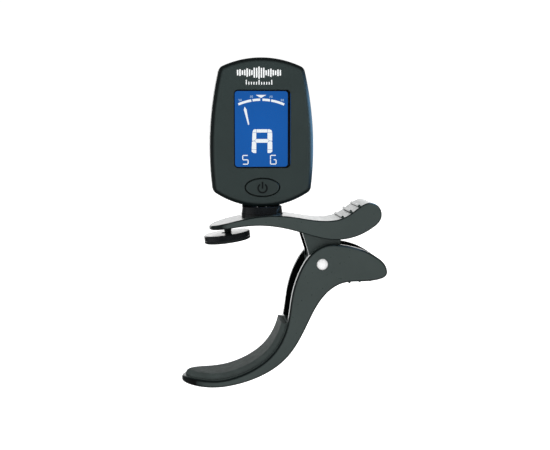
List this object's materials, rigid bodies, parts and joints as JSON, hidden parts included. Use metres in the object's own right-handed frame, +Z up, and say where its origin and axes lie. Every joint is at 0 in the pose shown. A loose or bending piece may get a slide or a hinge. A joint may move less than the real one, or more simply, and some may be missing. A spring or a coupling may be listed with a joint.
{
  "type": "clip on tuner",
  "caption": "Clip-on instrument tuner: upright lit display head on a swivel ball neck, on a spring clip with a long C-shaped lower jaw and a rocking foot.",
  "frame": {"origin": "centre of the foot pad's contact face, under the upper arm's tip", "axes": "+X back along the arm to the handles, +Y away from the reader of the display, +Z up to the head"},
  "size_m": [0.0717, 0.0174, 0.1134],
  "materials": {
    "head_plastic": "satin moulded",
    "clip_plastic": "satin moulded",
    "button_plastic": "satin moulded",
    "gloss_black": "polished",
    "stud_plastic": "semi-gloss",
    "rubber_pad": "matt",
    "pin_steel": "polished",
    "spring_steel": "drawn wire",
    "ball_steel": "turned",
    "screw_steel": "zinc plated",
    "nylon": "natural",
    "window_plastic": "clear",
    "lcd_glass": "lit display",
    "tray_plastic": "white moulded",
    "guide_plastic": "clear moulded",
    "led_plastic": "moulded",
    "zebra_rubber": "banded",
    "board": "solder mask",
    "chip_plastic": "moulded",
    "crystal_can": "drawn can",
    "chip_ceramic": "ceramic",
    "switch_metal": "pressed",
    "plunger_plastic": "moulded",
    "battery_steel": "nickel plated",
    "contact_metal": "nickel plated",
    "piezo_brass": "rolled",
    "piezo_white": "fired ceramic",
    "lead_insulation": "insulated"
  },
  "bodies": {
    "clip_arm": {"upper_arm": "clip_plastic", "foot_stud": "stud_plastic", "collar_seat": "gloss_black"},
    "foot": {"foot_disc": "gloss_black", "foot_pad": "rubber_pad"},
    "jaw": {"lower_jaw": "clip_plastic", "jaw_pad": "rubber_pad", "pivot_pin": "pin_steel", "pin_retainer": "pin_steel", "torsion_spring": "spring_steel"},
    "swivel": {"swivel_collar": "gloss_black", "friction_cup": "nylon", "friction_washer": "spring_steel", "swivel_screw": "screw_steel"},
    "button": {"power_button": "button_plastic", "switch_plunger": "plunger_plastic"},
    "battery_cap": {"battery_cap": "head_plastic"},
    "head": {"front_shell": "head_plastic", "rear_shell": "head_plastic", "ball_stud": "ball_steel", "case_screws": "screw_steel", "display_window": "window_plastic", "lcd_panel": "lcd_glass", "lcd_frame": "tray_plastic", "light_guide": "guide_plastic", "backlight_leds": "led_plastic", "elastomer_connector": "zebra_rubber", "circuit_board": "board", "control_chip": "chip_plastic", "quartz_crystal": "crystal_can", "chip_components": "chip_ceramic", "tact_switch": "switch_metal", "coin_battery": "battery_steel", "battery_negative_contact": "contact_metal", "battery_positive_contact": "contact_metal", "piezo_plate": "piezo_brass", "piezo_ceramic": "piezo_white", "piezo_leads": "lead_insulation"}
  },
  "joints": [
    {"name": "jaw_pivot", "type": "hinge", "parent": "clip_arm", "child": "jaw", "pos_m": [0.0322, 0, -0.0078], "axis": [0, -1, 0], "range_deg": [0, 16], "stiffness_Nm_per_rad": 0.12, "springref_deg": -57.3, "deforming": ["torsion_spring"]},
    {"name": "foot_rock", "type": "hinge", "parent": "clip_arm", "child": "foot", "pos_m": [0, 0, 0.00155], "axis": [0, -1, 0], "range_deg": [-16, 8]},
    {"name": "head_swivel", "type": "hinge", "parent": "clip_arm", "child": "swivel", "pos_m": [0.012, 0, 0.0105], "axis": [0, 0, 1], "continuous": true},
    {"name": "head_tilt", "type": "hinge", "parent": "swivel", "child": "head", "pos_m": [0.012, 0, 0.0105], "axis": [1, 0, 0], "range_deg": [-6, 3]},
    {"name": "button_press", "type": "slide", "parent": "head", "child": "button", "axis": [0, 1, 0], "range_m": [0, 0.0003], "stiffness_N_per_m": 1500},
    {"name": "battery_cap_turn", "type": "hinge", "parent": "head", "child": "battery_cap", "pos_m": [0.01165, 0.0063, 0.037], "axis": [0, -1, 0], "range_deg": [0, 30]}
  ]
}
